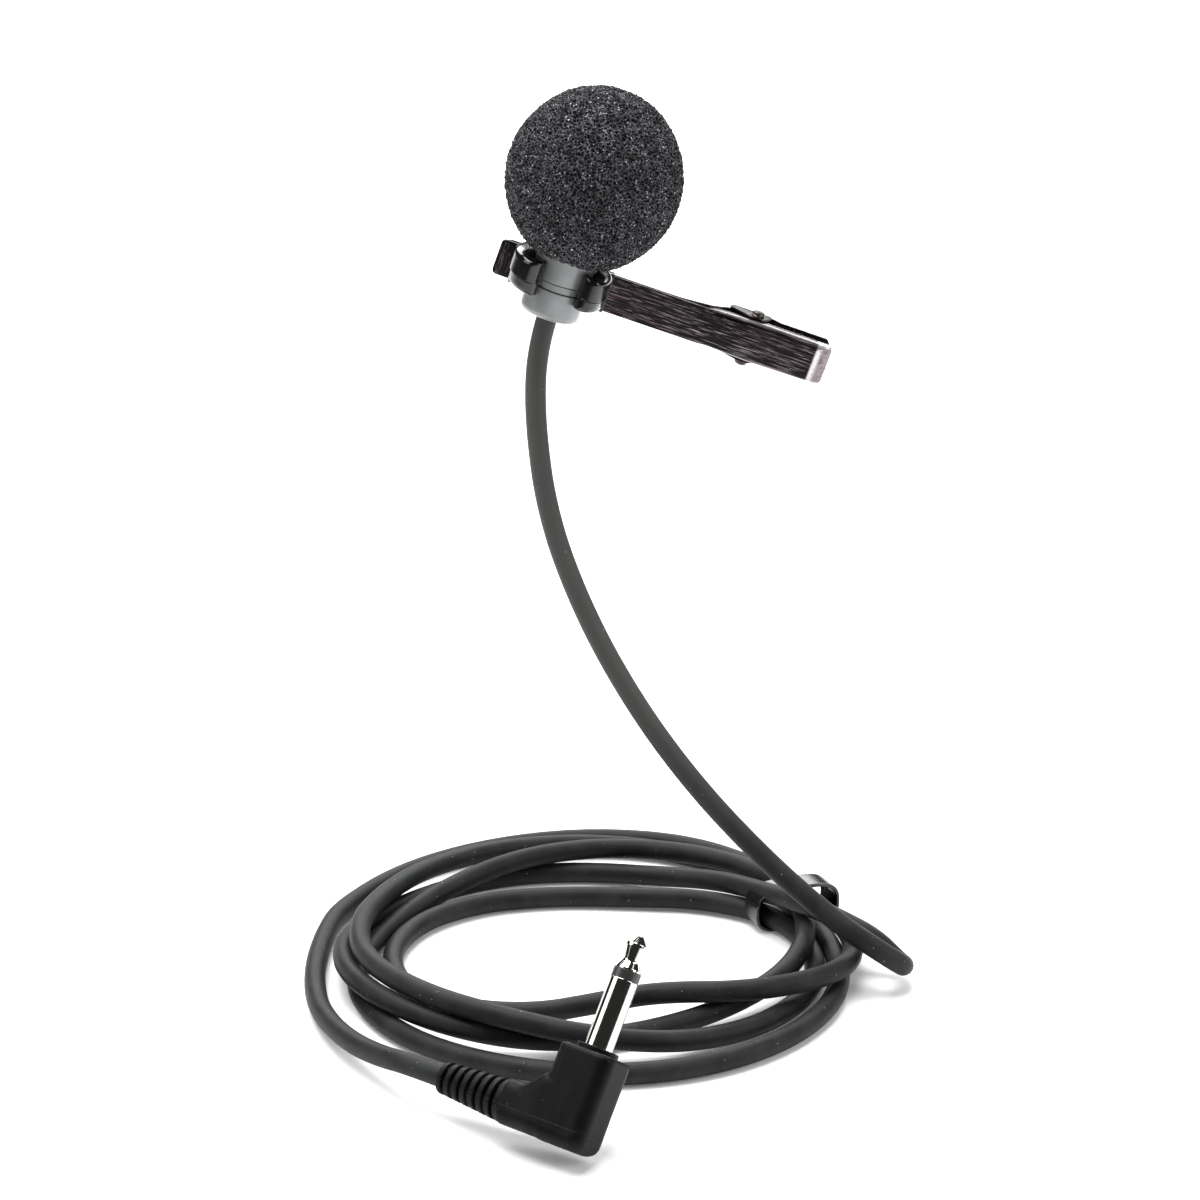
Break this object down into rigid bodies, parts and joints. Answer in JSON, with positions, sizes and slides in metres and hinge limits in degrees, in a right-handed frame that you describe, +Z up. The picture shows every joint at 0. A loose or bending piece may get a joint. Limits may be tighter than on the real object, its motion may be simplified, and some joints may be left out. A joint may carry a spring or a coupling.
{
  "type": "lavalier microphone",
  "caption": "Clip-on lavalier microphone with a foam ball windscreen, sprung lapel clip, coiled lead and right-angle mono plug.",
  "frame": {"origin": "grip of the clip's jaws, on the inner face of the front arm near its tip", "axes": "+X level, along the clip towards its handles, which slope down from it; +Y away from the microphone, through the lapel; +Z up"},
  "size_m": [0.0783, 0.0951, 0.1125],
  "materials": {
    "foam": "open-cell foam",
    "grey_body": "satin grey",
    "grille": "matt black perforated sheet",
    "felt": "thin felt",
    "capsule_metal": "drawn can",
    "board": "circuit board",
    "inner_rubber": "soft rubber",
    "wire": "insulated wire",
    "black_gloss": "polished black moulding",
    "dark_steel": "dark plated, brushed lengthwise",
    "pin_steel": "dark plated pin",
    "spring_copper": "copper-toned spring wire",
    "cord_rubber": "satin dark grey jacket",
    "tie_black": "glossy black tie",
    "plug_black": "satin black overmould",
    "plug_chrome": "polished nickel",
    "insulator": "black insulator",
    "lug": "solder lug"
  },
  "bodies": {
    "clip": {"mic_holder": "black_gloss", "clip_arm": "dark_steel", "pivot_pin": "pin_steel", "torsion_spring": "spring_copper", "cord_drop": "cord_rubber", "cord_coil": "cord_rubber", "cord_tail": "cord_rubber", "twist_tie": "tie_black", "strain_relief": "plug_black", "plug_body": "plug_black", "plug_sleeve": "plug_chrome", "plug_insulator": "insulator", "plug_tip": "plug_chrome", "solder_lugs": "lug"},
    "jaw": {"clip_jaw": "dark_steel"},
    "capsule": {"grille_cap": "grille", "dust_screen": "felt", "capsule_housing": "grey_body", "trim_band": "grey_body", "end_cap": "grey_body", "cord_grommet": "inner_rubber", "capsule_boot": "inner_rubber", "capsule_can": "capsule_metal", "diaphragm_ring": "capsule_metal", "electret_backplate": "capsule_metal", "backplate_spacer": "insulator", "capsule_board": "board", "signal_wires": "wire"},
    "windscreen": {"foam_windscreen": "foam"}
  },
  "joints": [
    {"name": "jaw_hinge", "type": "hinge", "parent": "clip", "child": "jaw", "pos_m": [0.03289, 0.00175, -0.01107], "axis": [-0.319, 0, -0.9478], "range_deg": [0, 11.5], "stiffness_Nm_per_rad": 0.06, "springref_deg": -20.05, "deforming": ["torsion_spring"]},
    {"name": "capsule_turn", "type": "hinge", "parent": "clip", "child": "capsule", "pos_m": [0.0073, -0.00555, -0.00246], "axis": [0.319, 0, 0.9478], "range_deg": [-90, 90]},
    {"name": "windscreen_pull", "type": "slide", "parent": "capsule", "child": "windscreen", "axis": [0.319, 0, 0.9478], "range_m": [0, 0.01]}
  ]
}
